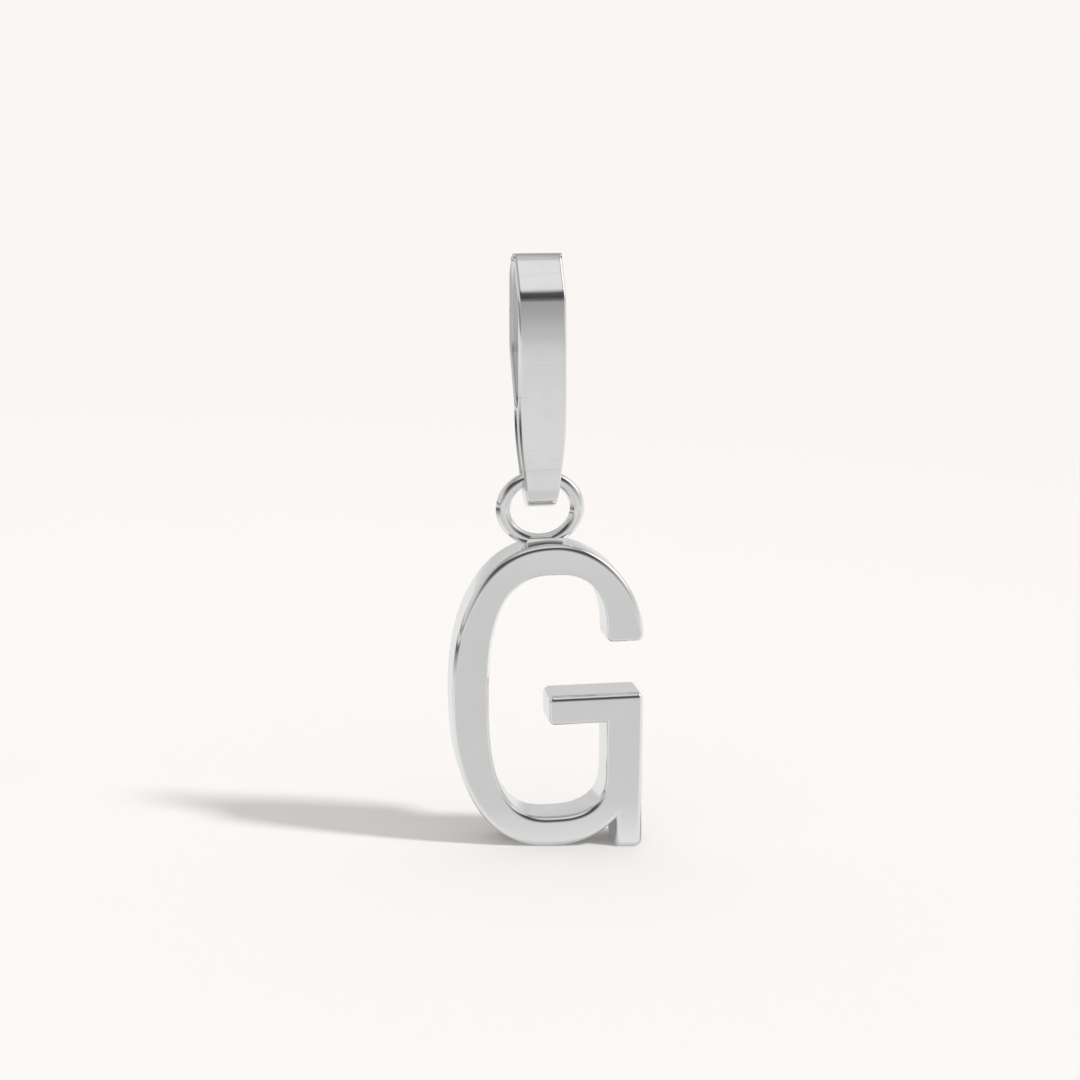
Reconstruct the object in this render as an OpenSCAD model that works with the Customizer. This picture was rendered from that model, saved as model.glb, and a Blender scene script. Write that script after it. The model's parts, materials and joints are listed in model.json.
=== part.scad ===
// Initial pendant: a capital G with a soldered eye, hanging in a hinged strap bail.
// Millimetres, +Z up, -Y towards the viewer. The origin is where a chain rests under the bail's hinge.

/* [Letter] */
// Height of the letter
letter_h = 15.33; // [14:0.01:18]
// Height of the round bowl's bottom over the foot
bowl_z = 0.26; // [0:0.01:0.4]
// Half width of the round left side, from the bowl's middle line
bowl_left = 4.94; // [4.6:0.01:5.6]
// Half width of the stem side, from the bowl's middle line
bowl_right = 4.34; // [4:0.01:4.8]
// Sideways distance from the eye's middle to the bowl's middle line
bowl_shift = 0.55; // [0:0.01:0.8]
// Depth of the letter, front to back
letter_d = 2.2; // [1.6:0.05:3]
// Width of the round left stroke
stroke_w = 1.8; // [1.5:0.01:2.3]
// Width of the stem and of the upper terminal
stem_w = 1.82; // [1.5:0.01:2.2]
// Height of the top arc's stroke
top_w = 1.53; // [1.1:0.01:1.8]
// Height of the bottom arc's stroke
bottom_w = 1.5; // [1.1:0.01:1.8]
// Height of the upper terminal's end above the foot
terminal_z = 10.42; // [10:0.01:11]
// Height of the crossbar's upper side
bar_z = 7.86; // [7:0.01:8.4]
// Thickness of the crossbar
bar_w = 1.47; // [1.1:0.01:1.8]
// Length of the crossbar, from its free end to the stem's outer side
bar_l = 4.61; // [3.5:0.01:5.2]
// Height over the upper terminal's end at which the top arc stands upright
terminal_turn = 0.17; // [0.1:0.01:0.3]
// Height over the bottom arc at which the counter stands upright beside the stem
stem_turn = 2.2; // [1.8:0.01:2.6]
// Width of the small foot beside the bowl
foot_w = 1.32; // [1.1:0.01:1.6]
// Radius of the soft edges
edge_r = 0.3; // [0.15:0.01:0.4]
// Squareness of the outer bowl, where 2 is an ellipse
outer_n = 2.3; // [2:0.05:2.6]
// Squareness of the top arc's right side, where 2 is an ellipse
top_n = 1.92; // [1.8:0.01:2.4]
// Squareness of the counter, where 2 is an ellipse
inner_n = 2.7; // [2:0.05:3]

/* [Eye] */
// Thickness of the eye's wire at its sides, front to back too
wire_d = 0.7; // [0.5:0.01:0.8]
// Outer width of the eye
eye_w = 4.24; // [4:0.01:4.6]
// Outer height of the eye, which is pressed a little flat
eye_h = 3.68; // [3.4:0.01:3.9]
// Depth by which the eye's wire is let into the letter's top
eye_sink = 0.27; // [0.1:0.01:0.3]
// Height of the solder seat over the letter's top
solder_h = 0.26; // [0.15:0.01:0.35]
// Width of the solder seat
solder_w = 1.85; // [1.4:0.05:2.2]
// Sideways place of the solder seat's middle
solder_x = 0.2; // [0:0.01:0.3]

/* [Bail] */
// Width of the bail's strap
strap_w = 2.25; // [2:0.01:2.6]
// Thickness of the bail's strap
strap_t = 0.42; // [0.3:0.01:0.5]
// Outer depth of the bail's narrow neck
neck_d = 1.9; // [1.85:0.01:2.3]
// Outer depth of the bail where the chain goes through
loop_d = 3.4; // [2.9:0.01:3.8]
// Height of the bail, from the hook's bottom to the hinge's top
bail_h = 11.8; // [11.2:0.05:13]
// Height of solid metal under the hook's seat
hook_t = 0.87; // [0.6:0.01:1]
// Width of the hook at its bottom
hook_w = 1.46; // [1:0.01:1.6]
// Height of the front tongue, where the gate ends
tongue_h = 1.88; // [1.6:0.01:2.1]
// Width of the tongue at its top
tongue_w = 1.84; // [1.6:0.01:2]
// Height over the hook's bottom at which the strap has its whole width
flare_h = 5.2; // [4:0.05:6]
// Curve of the flare between them, where 1 is straight
flare_curve = 2.5; // [1:0.1:3]
// Height over the hook's bottom at which the back starts to lean out
lean_h = 4.5; // [4.2:0.05:4.8]
// Lean of the back between neck and loop, in degrees
lean_a = 33; // [28:1:40]
// Bending radius of the back's lean, on the strap's middle
lean_r = 1.5; // [1:0.05:2]
// Outer radius of the loop's round top
top_r = 1.6; // [1.5:0.01:1.8]
// Slope of the gate's top facet, in degrees from upright
facet_a = 40; // [38:1:46]
// Turn of the gate's gentle upper bow, in degrees
bow_a = 8; // [6:1:10]
// Outer radius of the gate's gentle upper bow
bow_r = 14; // [12:0.5:16]
// Outer radius of the gate's shoulder
shoulder_r = 1.3; // [1:0.05:1.5]

/* [Hinge] */
// Outer diameter of the hinge's barrel and ears
barrel_d = 0.52; // [0.48:0.01:0.6]
// Height of the barrel and ears over the strap's round top
knuckle_rise = 0.03; // [0.02:0.01:0.05]
// Diameter of the hinge pin
pin_d = 0.26; // [0.2:0.01:0.3]
// Width of each of the two ears that hold the pin
ear_w = 0.16; // [0.14:0.01:0.3]
// Diameter of the pin's domed head
head_d = 0.42; // [0.36:0.01:0.46]
// Height of the pin's domed head
head_h = 0.12; // [0.08:0.01:0.16]

/* [Clearances] */
// Space round the pin in the gate's barrel
pin_play = 0.02; // [0.01:0.005:0.03]
// Space round the pin in the ears, where it is held
pin_fit = 0.01; // [0.005:0.005:0.015]
// Gap between the hinge's turning pieces
hinge_gap = 0.05; // [0.04:0.01:0.1]
// Gap between the gate's end and the tongue
gate_gap = 0.05; // [0.04:0.01:0.12]
// Height of the free space between the eye's wire and the hook's seat
hang_gap = 0.26; // [0.24:0.01:0.3]

/* [Hidden] */
// Steps of a quarter of the letter's bowls
quarter_steps = 16;
// Sides of a full turn of the letter's soft edge
edge_sides = 16;
// Steps of the strap's bends, in degrees
bend_step = 6;
// Steps of the strap's flare
flare_steps = 6;
// Fineness of true circles
$fn = 64;
// Spare length of a cutting solid past what it cuts
past = 1;

// The letter, in the plane X-Z over its foot
right_x = bowl_shift + bowl_right;
stem_x = right_x - stem_w;
bar_x = right_x - bar_l;
foot_x = right_x - foot_w;
counter_left = bowl_left - stroke_w;
counter_right = stem_x - bowl_shift;
counter_top = letter_h - top_w;
counter_low = bowl_z + bottom_w;
counter_mid = (counter_top + counter_low) / 2;
counter_b = (counter_top - counter_low) / 2;
bowl_mid = (letter_h + bowl_z) / 2;
bowl_b = (letter_h - bowl_z) / 2;
upper_mid = terminal_z + terminal_turn;
lower_mid = counter_low + stem_turn;

// The eye stands in the plane X-Z at the letter's middle depth
wire_r = wire_d / 2;
eye_flat = eye_h / eye_w;
eye_z = letter_h - eye_sink + eye_h / 2;
// Height of the wire's middle where the eye hangs
hang_z = eye_z + (eye_h - eye_flat * wire_d) / 2;

// The bail, in side view: y goes to the back
neck_y = neck_d / 2;
neck_in = neck_y - strap_t;
seat_z = hang_z - eye_flat * wire_r - hang_gap;
hook_z = seat_z - hook_t;
top_z = hook_z + bail_h;
tongue_z = hook_z + tongue_h;
gate_z = tongue_z + gate_gap;
lean_z = hook_z + lean_h;
flare_z = hook_z + flare_h;
back_y = loop_d - neck_y;
lean_out = back_y - neck_y;
lean_l = (lean_out - 2 * lean_r * (1 - cos(lean_a))) / sin(lean_a);
lean_top_z = lean_z + 2 * lean_r * sin(lean_a) + lean_l * cos(lean_a);
barrel_r = barrel_d / 2;
pin_r = pin_d / 2;
hinge_y = back_y - top_r;
hinge_z = top_z - barrel_r;
arc_z = top_z - knuckle_rise - top_r;
ear_x = strap_w / 2 - ear_w;
barrel_x = ear_x - hinge_gap;
relief_r = barrel_r + hinge_gap;
// Lengths of the gate's straight front and of its facet, from where they have to meet the barrel
facet_y = hinge_y - barrel_r * cos(facet_a);
facet_z = hinge_z + barrel_r * sin(facet_a);
bow_y = bow_r * (1 - cos(bow_a));
shoulder_y = shoulder_r * (cos(bow_a) - cos(facet_a));
facet_l = (facet_y + neck_y - bow_y - shoulder_y) / sin(facet_a);
front_l = facet_z - gate_z - bow_r * sin(bow_a)
    - shoulder_r * (sin(facet_a) - sin(bow_a)) - facet_l * cos(facet_a);

// Where the chain rests: under the barrel
chain_y = hinge_y;
chain_z = hinge_z - barrel_r;

silver = [0.80, 0.80, 0.81];

// Points of an arc of a squared ellipse round the middle m, between the angles from and to
function squared(m, a, b, n, from, to) = [
    for (i = [0 : quarter_steps])
        let (t = from + (to - from) * i / quarter_steps, c = cos(t), s = sin(t))
            [m.x + a * sign(c) * pow(abs(c), 2 / n), m.y + b * sign(s) * pow(abs(s), 2 / n)]
];

// Height of the outer bowl's lower right side at the foot
foot_share = pow((foot_x - bowl_shift) / bowl_left, outer_n);
notch_z = bowl_mid - bowl_b * pow(1 - foot_share, 1 / outer_n);

module letter_outline() {
    mid = [bowl_shift, bowl_mid];
    inner = [bowl_shift, counter_mid];
    lower_right = squared(mid, bowl_left, bowl_b, outer_n, 270, 360);
    polygon(concat(
        [[right_x, terminal_z]],
        squared([bowl_shift, upper_mid], bowl_right, letter_h - upper_mid, top_n, 0, 90),
        squared(mid, bowl_left, bowl_b, outer_n, 90, 180),
        squared(mid, bowl_left, bowl_b, outer_n, 180, 270),
        [for (p = lower_right) if (p.x < foot_x) p],
        [[foot_x, notch_z], [foot_x, 0], [right_x, 0], [right_x, bar_z], [bar_x, bar_z]],
        [[bar_x, bar_z - bar_w], [stem_x, bar_z - bar_w]],
        squared([bowl_shift, lower_mid], counter_right, stem_turn, inner_n, 0, -90),
        squared(inner, counter_left, counter_b, inner_n, 270, 180),
        squared(inner, counter_left, counter_b, inner_n, 180, 90),
        squared([bowl_shift, upper_mid], counter_right, counter_top - upper_mid, inner_n, 90, 0),
        [[stem_x, terminal_z]]
    ));
}

// The letter's body with soft edges all round
module letter_body() {
    minkowski() {
        rotate([90, 0, 0])
            linear_extrude(letter_d - 2 * edge_r, center = true)
                offset(delta = -edge_r) letter_outline();
        sphere(edge_r, $fn = edge_sides);
    }
}

// A round wire ring pressed to an oval, and the solder seat under it
module eye() {
    translate([0, 0, eye_z]) scale([1, 1, eye_flat]) rotate([90, 0, 0])
        rotate_extrude() translate([eye_w / 2 - wire_r, 0]) circle(wire_r);
    translate([solder_x - solder_w / 2, -wire_r, letter_h - edge_r])
        cube([solder_w, wire_d, edge_r + solder_h]);
}

// Front outline of the strap, which flares from the hook to its whole width
module strap_outline() {
    flare = [
        for (i = [0 : flare_steps])
            let (rest = 1 - i / flare_steps)
                [(strap_w - (strap_w - tongue_w) * pow(rest, flare_curve)) / 2,
                    flare_z - (flare_z - tongue_z) * rest]
    ];
    half = concat([[hook_w / 2, hook_z - past], [hook_w / 2, hook_z]], flare, [[strap_w / 2, top_z + past]]);
    polygon(concat(half, reversed([for (p = half) [-p.x, p.y]])));
}

// A side view in Y-Z, drawn across the strap's width and narrowed to its front outline
module strap_solid(side) {
    intersection() {
        rotate([90, 0, 90]) linear_extrude(strap_w, center = true) polygon(side);
        rotate([90, 0, 0]) linear_extrude(2 * loop_d, center = true) strap_outline();
    }
}

// Points of a circle's arc round the middle m, without its last point, where the next stretch starts
function arc(m, r, from, to) =
    let (steps = ceil(abs(to - from) / bend_step))
        [for (i = [0 : steps - 1])
            let (a = from + (to - from) * i / steps) [m.x + r * cos(a), m.y + r * sin(a)]];

// One side of a strap that starts at p towards the angle h and follows moves, off to the left of its middle.
// A move is [length] for a straight, or [radius, turn] for a bend to the left.
function strap_side(moves, p, h, off, i = 0) =
    i == len(moves) ? [p + off * [-sin(h), cos(h)]]
    : len(moves[i]) == 1
        ? concat([p + off * [-sin(h), cos(h)]],
            strap_side(moves, p + moves[i][0] * [cos(h), sin(h)], h, off, i + 1))
    : let (
        turn = moves[i][1],
        hand = sign(turn),
        r = moves[i][0],
        m = p + hand * r * [-sin(h), cos(h)],
        ends = arc(m, r - hand * off, h - 90 * hand, h - 90 * hand + turn),
        h2 = h + turn
    ) concat(ends, strap_side(moves, m + hand * r * [sin(h2), -cos(h2)], h2, off, i + 1));

function reversed(list) = [for (i = [len(list) - 1 : -1 : 0]) list[i]];

// The frame's side view: the hook, the neck's back, the lean, the loop's back and its round top
frame_moves = [
    [lean_z - hook_z - neck_y],
    [lean_r, -lean_a],
    [lean_l],
    [lean_r, lean_a],
    [arc_z - lean_top_z],
    [top_r - strap_t / 2, 90]
];
frame_start = [neck_y - strap_t / 2, hook_z + neck_y];
frame_side = concat(
    [[-neck_y, tongue_z]],
    arc([0, hook_z + neck_y], neck_y, 180, 360),
    strap_side(frame_moves, frame_start, 90, -strap_t / 2),
    reversed(concat(
        [[-neck_in, tongue_z]],
        arc([0, seat_z + neck_in], neck_in, 180, 360),
        strap_side(frame_moves, frame_start, 90, strap_t / 2)
    ))
);

// The gate's side view: its straight front, its bow, its shoulder and its top facet
gate_moves = [
    [front_l],
    [bow_r - strap_t / 2, -bow_a],
    [shoulder_r - strap_t / 2, bow_a - facet_a],
    [facet_l]
];
gate_start = [strap_t / 2 - neck_y, gate_z];
gate_side = concat(
    strap_side(gate_moves, gate_start, 90, strap_t / 2),
    reversed(strap_side(gate_moves, gate_start, 90, -strap_t / 2))
);

// A round bar along X at the hinge
module hinge_bar(r, from, to) {
    translate([from, hinge_y, hinge_z]) rotate([0, 90, 0]) cylinder(h = to - from, r = r);
}

module frame_body() {
    difference() {
        union() {
            difference() {
                strap_solid(frame_side);
                hinge_bar(relief_r, -ear_x, ear_x);
            }
            for (side = [-1, 1]) translate([side * (ear_x + ear_w / 2), 0, 0])
                hinge_bar(barrel_r, -ear_w / 2, ear_w / 2);
        }
        hinge_bar(pin_r + pin_fit, -strap_w, strap_w);
    }
}

module gate_body() {
    difference() {
        union() {
            difference() {
                strap_solid(gate_side);
                for (side = [-1, 1]) translate([side * strap_w / 2, 0, 0])
                    hinge_bar(relief_r, -ear_w - hinge_gap, ear_w + hinge_gap);
            }
            hinge_bar(barrel_r, -barrel_x, barrel_x);
        }
        hinge_bar(pin_r + pin_play, -strap_w, strap_w);
    }
}

// A straight pin with one domed head, riveted flush at its other end
module pin_body() {
    dome_r = (pow(head_d / 2, 2) + head_h * head_h) / (2 * head_h);
    hinge_bar(pin_r, -strap_w / 2 - head_h / 2, strap_w / 2);
    intersection() {
        translate([-strap_w / 2 - head_h + dome_r, hinge_y, hinge_z]) sphere(dome_r);
        hinge_bar(head_d, -strap_w / 2 - past, -strap_w / 2);
    }
}

// Moves what is drawn over the letter's foot to the origin at the chain
module place() {
    translate([0, -chain_y, -chain_z]) children();
}

module letter() {
    color(silver) place() union() {
        letter_body();
        eye();
    }
}

module bail_frame() {
    color(silver) place() frame_body();
}

module bail_gate() {
    color(silver) place() gate_body();
}

module hinge_pin() {
    color(silver) place() pin_body();
}

letter();
bail_frame();
bail_gate();
hinge_pin();
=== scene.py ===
"""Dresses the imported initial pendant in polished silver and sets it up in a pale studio."""

import json
from math import acos, ceil, copysign, cos, hypot, pi, radians, sin, tan

import bmesh
import bpy
from bpy.props import FloatProperty, FloatVectorProperty, IntProperty, PointerProperty
from bpy.types import Operator, Panel, PropertyGroup
from mathutils import Matrix, Vector


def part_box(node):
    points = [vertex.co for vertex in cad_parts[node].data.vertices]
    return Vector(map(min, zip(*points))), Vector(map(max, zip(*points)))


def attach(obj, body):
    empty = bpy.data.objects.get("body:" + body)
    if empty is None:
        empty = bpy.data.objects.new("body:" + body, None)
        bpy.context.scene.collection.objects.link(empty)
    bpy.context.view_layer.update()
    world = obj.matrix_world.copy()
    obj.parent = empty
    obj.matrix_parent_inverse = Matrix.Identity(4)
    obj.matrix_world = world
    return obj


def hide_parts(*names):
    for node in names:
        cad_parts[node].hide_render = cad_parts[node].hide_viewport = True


bl_info = {
    "name": "Initial pendant",
    "version": (1, 0, 0),
    "blender": (4, 5, 0),
    "location": "View3D > Sidebar > Pendant",
    "description": "Builds a polished letter charm, its wire eye and its hinged bail",
    "category": "Object",
}

MM = 0.001

# How finely the wire, the eye's ring, the hinge and the strap are stepped
WIRE_SIDES = 40
RING_STEPS = 120
BARREL_SIDES = 64
STRAIGHT_STEP = 0.5 * MM
BEND_STEP = radians(3)
# Edges turned by more than this are shaded sharp, and points closer than this are joined
SHARP_ANGLE = radians(50)
JOIN_DISTANCE = 0.0002 * MM

# Rows of (height of the direction, brightness) in what the metal mirrors: the room all round it,
# and the dark hall in front of it
ROOM_LIGHT = ((0.0, 0.73), (0.15, 0.6), (0.3, 0.66), (0.48, 0.6), (0.68, 0.4), (0.86, 0.39), (1.0, 0.58))
HALL_LIGHT = (
    (0.0, 0.49), (0.06, 0.42), (0.11, 0.365), (0.17, 0.35), (0.34, 0.14),
    (0.5, 0.05), (0.74, 0.09), (0.87, 0.64), (0.92, 0.82), (0.955, 0.8), (1.0, 0.58),
)
# Rows of (distance from the bail's top as a share of the reach, brightness) of the painted reflection on the
# floor: painted light and shade on the paper in front, and painted dark bands beside it on the left
LIGHT_REACH = 400 * MM
PAPER_LIGHT = ((0.0, 0.65), (0.15, 0.63), (0.23, 0.74), (0.35, 0.73), (0.48, 0.68), (0.7, 0.61), (1.0, 0.52))
PAINTED_BAND_LIGHT = (
    (0.0, 0.75), (0.1, 0.75), (0.135, 0.38), (0.165, 0.25), (0.185, 0.05), (0.225, 0.05),
    (0.25, 0.78), (0.46, 0.8), (0.52, 0.15), (1.0, 0.2),
)
# Sets of hairline scratches: how quickly they change along X, Y and Z, per metre, and the turns in
# degrees that give each set a pattern of its own
HAIRLINES = (
    ((500, 300, 12000), (0, 25, 12)),
    ((500, 400, 12000), (8, -50, 3)),
    ((500, 240, 12000), (16, 80, -6)),
)

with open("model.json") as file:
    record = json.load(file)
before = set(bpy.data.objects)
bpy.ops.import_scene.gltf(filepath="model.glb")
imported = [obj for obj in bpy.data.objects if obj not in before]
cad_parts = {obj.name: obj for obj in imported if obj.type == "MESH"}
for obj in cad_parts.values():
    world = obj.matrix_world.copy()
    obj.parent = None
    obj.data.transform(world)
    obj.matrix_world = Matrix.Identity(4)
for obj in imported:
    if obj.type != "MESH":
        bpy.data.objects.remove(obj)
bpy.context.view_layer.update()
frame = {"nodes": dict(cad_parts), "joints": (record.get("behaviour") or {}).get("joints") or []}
letter_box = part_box("letter")
strap_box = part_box("bail_frame")
gate_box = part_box("bail_gate")

# The letter and its eye stand in one upright plane, and the bail's neck is centred on it
MID_Y = (letter_box[0].y + letter_box[1].y) / 2
FOOT_Z = letter_box[0].z
HOOK_Z = strap_box[0].z


def length(name, description, default, soft_max=20):
    """A size in metres, with its default and its slider's end given in millimetres."""
    return FloatProperty(
        name=name,
        description=description,
        default=default * MM,
        min=0.0,
        soft_max=soft_max * MM,
        unit="LENGTH",
        subtype="DISTANCE",
        precision=5,
    )


def turn(name, description, default):
    """An angle, with its default given in degrees."""
    return FloatProperty(
        name=name,
        description=description,
        default=radians(default),
        unit="ROTATION",
        subtype="ANGLE",
    )


def number(name, description, default):
    """A plain number."""
    return FloatProperty(name=name, description=description, default=default)


def colour(name, description, default):
    """A colour in red, green and blue."""
    return FloatVectorProperty(name=name, description=description, default=default, subtype="COLOR")


class LetterSizes(PropertyGroup):
    """Sizes of the cast letter, measured from its foot and from the eye's middle."""

    height: length("Height", "Height of the letter", 15.33)
    depth: length("Depth", "Depth of the letter, front to back", 2.2)
    bowl_z: length("Bowl height", "Height of the bowl's bottom over the foot", 0.26)
    bowl_left: length("Bowl left", "Half width of the bowl on its round side", 4.94)
    bowl_right: length("Bowl right", "Half width of the bowl on its stem side", 4.34)
    bowl_shift: length("Bowl shift", "From the eye's middle to the bowl's middle line", 0.55)
    stroke: length("Stroke", "Width of the round left stroke", 1.8)
    stem: length("Stem", "Width of the stem and of the upper terminal", 1.82)
    top_stroke: length("Top stroke", "Height of the top arc's stroke", 1.53)
    bottom_stroke: length("Bottom stroke", "Height of the bottom arc's stroke", 1.5)
    terminal_z: length("Terminal height", "Height of the upper terminal's end", 10.42)
    terminal_turn: length("Terminal turn", "Upright stretch over the terminal's end", 0.17)
    stem_turn: length("Stem turn", "Height of the counter's turn into the stem", 2.2)
    bar_z: length("Crossbar height", "Height of the crossbar's upper side", 7.86)
    bar: length("Crossbar", "Thickness of the crossbar", 1.47)
    bar_length: length("Crossbar length", "From its free end to the stem's outer side", 4.61)
    foot: length("Foot", "Width of the small foot beside the bowl", 1.32)
    edge: length("Soft edge", "Radius of the soft edges", 0.3)
    corner: number("Corner", "Radius of the outline's corners, as a share of the soft edge", 1.06)
    outer_squareness: number("Outer squareness", "Outline of the bowl, where 2 is an ellipse", 2.3)
    top_squareness: number("Top squareness", "Outline of the top arc's right side", 1.92)
    inner_squareness: number("Inner squareness", "Outline of the counter, where 2 is an ellipse", 2.7)
    arc_steps: IntProperty(name="Arc steps", description="Steps of a quarter of the bowl", default=40)


class EyeSizes(PropertyGroup):
    """Sizes of the wire eye and of its solder seat."""

    wire: length("Wire", "Thickness of the wire at the eye's sides", 0.7)
    width: length("Width", "Outer width of the eye", 4.24)
    height: length("Height", "Outer height of the eye, pressed a little flat", 3.68)
    sink: length("Sink", "Depth by which the wire is let into the letter's top", 0.27)
    solder: length("Solder", "Height of the solder seat over the letter's top", 0.26)
    seat: length("Seat", "Width of the solder seat", 1.85)
    seat_shift: length("Seat shift", "Sideways place of the solder seat's middle", 0.2)
    seat_edge: length("Seat edge", "Radius of the solder seat's soft edges", 0.1)


class BailSizes(PropertyGroup):
    """Sizes of the bail's strap, in side view from the hook's bottom."""

    strap: length("Strap width", "Width of the strap", 2.25)
    gauge: length("Strap gauge", "Thickness of the strap", 0.42)
    neck: length("Neck depth", "Outer depth of the narrow neck", 1.9)
    loop: length("Loop depth", "Outer depth where the chain goes through", 3.4)
    height: length("Height", "From the hook's bottom to the hinge's top", 11.8)
    hook: length("Hook", "Height of solid metal under the hook's seat", 0.87)
    hook_width: length("Hook width", "Width of the hook at its bottom", 1.46)
    tongue: length("Tongue", "Height of the front tongue", 1.88)
    tongue_width: length("Tongue width", "Width of the tongue at its top", 1.84)
    flare: length("Flare", "Height at which the strap has its whole width", 5.2)
    flare_curve: number("Flare curve", "Curve of the flare, where 1 is straight", 2.5)
    lean_height: length("Lean height", "Height at which the back starts to lean out", 4.5)
    lean: turn("Lean", "Lean of the back between neck and loop", 33)
    lean_bend: length("Lean bend", "Bending radius of the lean, on the strap's middle", 1.5)
    top_bend: length("Top bend", "Outer radius of the loop's round top", 1.6)
    facet: turn("Facet", "Slope of the gate's top facet from upright", 37)
    crest: turn("Crest", "Slope at which the facet's rounded top meets the barrel", 70)
    crest_bend: length("Crest bend", "Outer radius of the facet's rounded top", 1.0)
    bow: turn("Bow", "Turn of the gate's gentle upper bow", 8)
    bow_bend: length("Bow bend", "Outer radius of the gentle upper bow", 14)
    shoulder: length("Shoulder", "Outer radius of the gate's shoulder", 1.3)
    edge: length("Soft edge", "Radius of the strap's soft long edges", 0.19)


class HingeSizes(PropertyGroup):
    """Sizes of the hinge at the bail's top."""

    barrel: length("Barrel", "Diameter of the barrel and of the ears", 0.52)
    rise: length("Knuckle rise", "Height of the barrel over the strap's round top", 0.03)
    ear: length("Ear", "Width of each ear", 0.11)
    proud: length("Proud", "Height of the ears' ends over the strap's sides", 0.01)
    bore: length("Bore", "Diameter of the bore round the pin", 0.29)
    play: length("Play", "Gap between the hinge's turning pieces", 0.02)
    clearance: length("Clearance", "Gap between the barrel and the strap behind it", 0.05)
    gate_gap: length("Gate gap", "Gap between the gate's end and the tongue", 0.004)
    edge: length("Soft edge", "Radius of the barrel's soft ends", 0.02)


class SilverFinish(PropertyGroup):
    """How the metal takes the light."""

    tone: colour("Tone", "Colour of the polished metal", (0.93, 0.93, 0.93))
    tarnish: colour("Tarnish", "Tint of the slight tarnish, in patches", (0.965, 0.96, 0.95))
    haze: number("Haze", "Roughness left by the polishing", 0.11)
    wave: number("Wave", "Strength of the polished faces' slight waves", 0.03)
    grain: number("Grain", "Strength of the finest polishing marks", 0.02)
    scratches: number("Scratches", "Haze of the hairline scratches", 0.05)
    wear: number("Wear", "Haze of the edges rubbed in wear", 0.06)
    satin: number("Satin", "Haze inside the bail, where no wheel reaches", 0.3)


class StudioLight(PropertyGroup):
    """The camera, the pale floor and the light round the pendant."""

    azimuth: turn("Azimuth", "Camera's turn to the right of the front", -9)
    elevation: turn("Elevation", "Camera's height over the horizon", 13)
    distance: length("Distance", "From the camera to what it aims at", 95, soft_max=200)
    aim_height: length("Aim height", "Height of the aim over the letter's foot", 15.35)
    sensor: number("Sensor", "Width of the camera's sensor in mm", 36)
    lens: number("Lens", "Focal length of the camera in mm", 66.79)
    backdrop: colour("Backdrop", "Warm white behind the pendant", (0.956, 0.922, 0.896))
    floor: length("Floor", "Half the floor's width", 3000, soft_max=5000)
    fade_start: length("Fade start", "Distance at which the floor starts to fade into the backdrop", 40)
    fade_end: length("Fade end", "Distance at which only the backdrop is left", 160, soft_max=500)
    floor_slope: turn("Floor slope", "Slope of the floor, up to the left of the letter's foot", 3.7)
    sun_azimuth: turn("Sun azimuth", "Sun's turn to the right of the front", 73)
    sun_elevation: turn("Sun elevation", "Sun's height over the horizon", 42)
    sun_angle: turn("Sun width", "How wide the sun looks, which softens the shadow", 7)
    sun_strength: number("Sun strength", "Light of the sun on the floor", 1.87)
    dome: number("Dome", "Light of the white dome on the floor", 0.865)
    paper: number("Paper", "Share of the light that the floor's paper throws back", 0.88)
    paper_behind: number("Paper behind", "Brightness of the paper behind, in the metal", 0.83)
    window_azimuth: turn("Window azimuth", "Window's turn to the right of the front", 97)
    window_elevation: turn("Window elevation", "Window's height over the horizon", 32)
    window_inner: turn("Window inner", "Angle from the window's middle up to which it is bright", 12)
    window_outer: turn("Window outer", "Angle from the window's middle at which it ends", 26)
    window: number("Window", "Brightness of the window in the metal", 1.3)
    # The painted dark bands: painted shade on the floor's left, which only the metal mirrors
    painted_band_azimuth: turn("Painted band azimuth", "Painted dark bands' turn to the right of the front", -95)
    painted_band_inner: turn("Painted band inner", "Angle from the painted bands' middle up to which they are dark", 45)
    painted_band_outer: turn("Painted band outer", "Angle from the painted bands' middle at which they end", 55)
    contact: number("Contact", "Brightness left in the shadow under the letter, in the metal", 0.3)


def settings():
    """The scene's settings of this add-on."""
    return bpy.context.scene


def mark_insides(bm):
    """Marks the faces of the bail that look into its loop, which a polishing wheel doesn't reach."""
    # The height of the loop's middle as a share of the bail's, and how squarely a face must look at it
    loop_share = 0.7
    least_facing = 0.3
    inside = bm.faces.layers.float.new("inside")
    loop_z = HOOK_Z + settings().pendant_bail.height * loop_share
    middle = Vector((0, (strap_box[1].y + gate_box[0].y) / 2, loop_z))
    for face in bm.faces:
        inward = middle - face.calc_center_median()
        inward.x = 0
        face[inside] = float(face.normal.dot(inward.normalized()) > least_facing)


def new_object(bm, name):
    """Makes a finished mesh an object of the scene."""
    mesh = bpy.data.meshes.new(name)
    bm.to_mesh(mesh)
    bm.free()
    made = bpy.data.objects.new(name, mesh)
    bpy.context.scene.collection.objects.link(made)
    return made


def new_piece(bm, name, body, slot, *nodes):
    """Makes a finished mesh a piece that rides on a body and stands for the named nodes."""
    bmesh.ops.remove_doubles(bm, verts=bm.verts, dist=JOIN_DISTANCE)
    bmesh.ops.recalc_face_normals(bm, faces=bm.faces)
    if body != "charm":
        mark_insides(bm)
    piece = new_object(bm, name)
    piece.data.shade_smooth()
    piece.data.set_sharp_from_angle(angle=SHARP_ANGLE)
    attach(piece, body)
    if nodes:
        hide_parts(*nodes)
    even = piece.modifiers.new("Even shading", "WEIGHTED_NORMAL")
    even.mode = "FACE_AREA"
    even.weight = 80
    even.keep_sharp = True
    piece.data.materials.append(polished_silver())
    # In the photo, the letter alone casts a shadow
    piece.visible_shadow = body == "charm"
    return piece


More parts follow.
